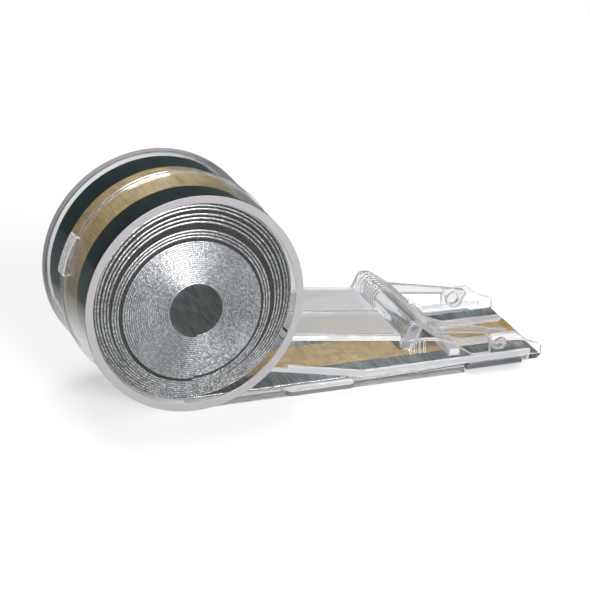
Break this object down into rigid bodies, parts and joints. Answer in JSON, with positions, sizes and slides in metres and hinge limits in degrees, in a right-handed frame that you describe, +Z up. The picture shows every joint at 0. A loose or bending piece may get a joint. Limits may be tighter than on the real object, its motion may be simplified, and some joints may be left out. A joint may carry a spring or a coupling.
{
  "type": "staple cartridge for a heavy-duty electric stapler",
  "caption": "Clear drum of coiled blank staple strip with a flat feed tongue, a steel nose plate and a hinged U-shaped bail handle, for a heavy-duty electric stapler.",
  "frame": {"origin": "middle of the bounding box's footprint, on the table the cartridge rests on", "axes": "+X from the drum towards the nose where the staples leave, +Z up, so -Y is the near side"},
  "size_m": [0.1076, 0.0372, 0.0503],
  "materials": {
    "clear_plastic": "clear polished moulded plastic",
    "handle_plastic": "clear polished moulded plastic",
    "staple_wire": "bright drawn wire",
    "tape": "waxy tan adhesive tape",
    "spring_steel": "satin"
  },
  "bodies": {
    "case": {"near_shell": "clear_plastic", "far_shell": "clear_plastic", "hold_down": "clear_plastic", "check_spring": "spring_steel", "nose_plate": "spring_steel"},
    "coil": {"coil_core_turns": "staple_wire", "coil_middle_turns": "staple_wire", "coil_middle_tape": "tape", "coil_outer_turns": "staple_wire", "coil_outer_tape": "tape"},
    "strip": {"feed_strip": "staple_wire", "feed_tape_top": "tape", "feed_tape_under": "tape", "lead_staples": "staple_wire"},
    "handle": {"handle": "handle_plastic"}
  },
  "joints": [
    {"name": "handle_hinge", "type": "hinge", "parent": "case", "child": "handle", "pos_m": [0.04383, 0, 0.006], "axis": [0, 1, 0], "range_deg": [0, 100]},
    {"name": "coil_turn", "type": "hinge", "parent": "case", "child": "coil", "pos_m": [-0.02817, 0, 0.025], "axis": [0, -1, 0], "range_deg": [0, 8]},
    {"name": "strip_feed", "type": "slide", "parent": "case", "child": "strip", "axis": [1, 0, 0], "range_m": [0, 0.0032]}
  ],
  "couplings": [
    {"joint": "strip_feed", "follows": "coil_turn", "m_per_rad": 0.0227}
  ]
}
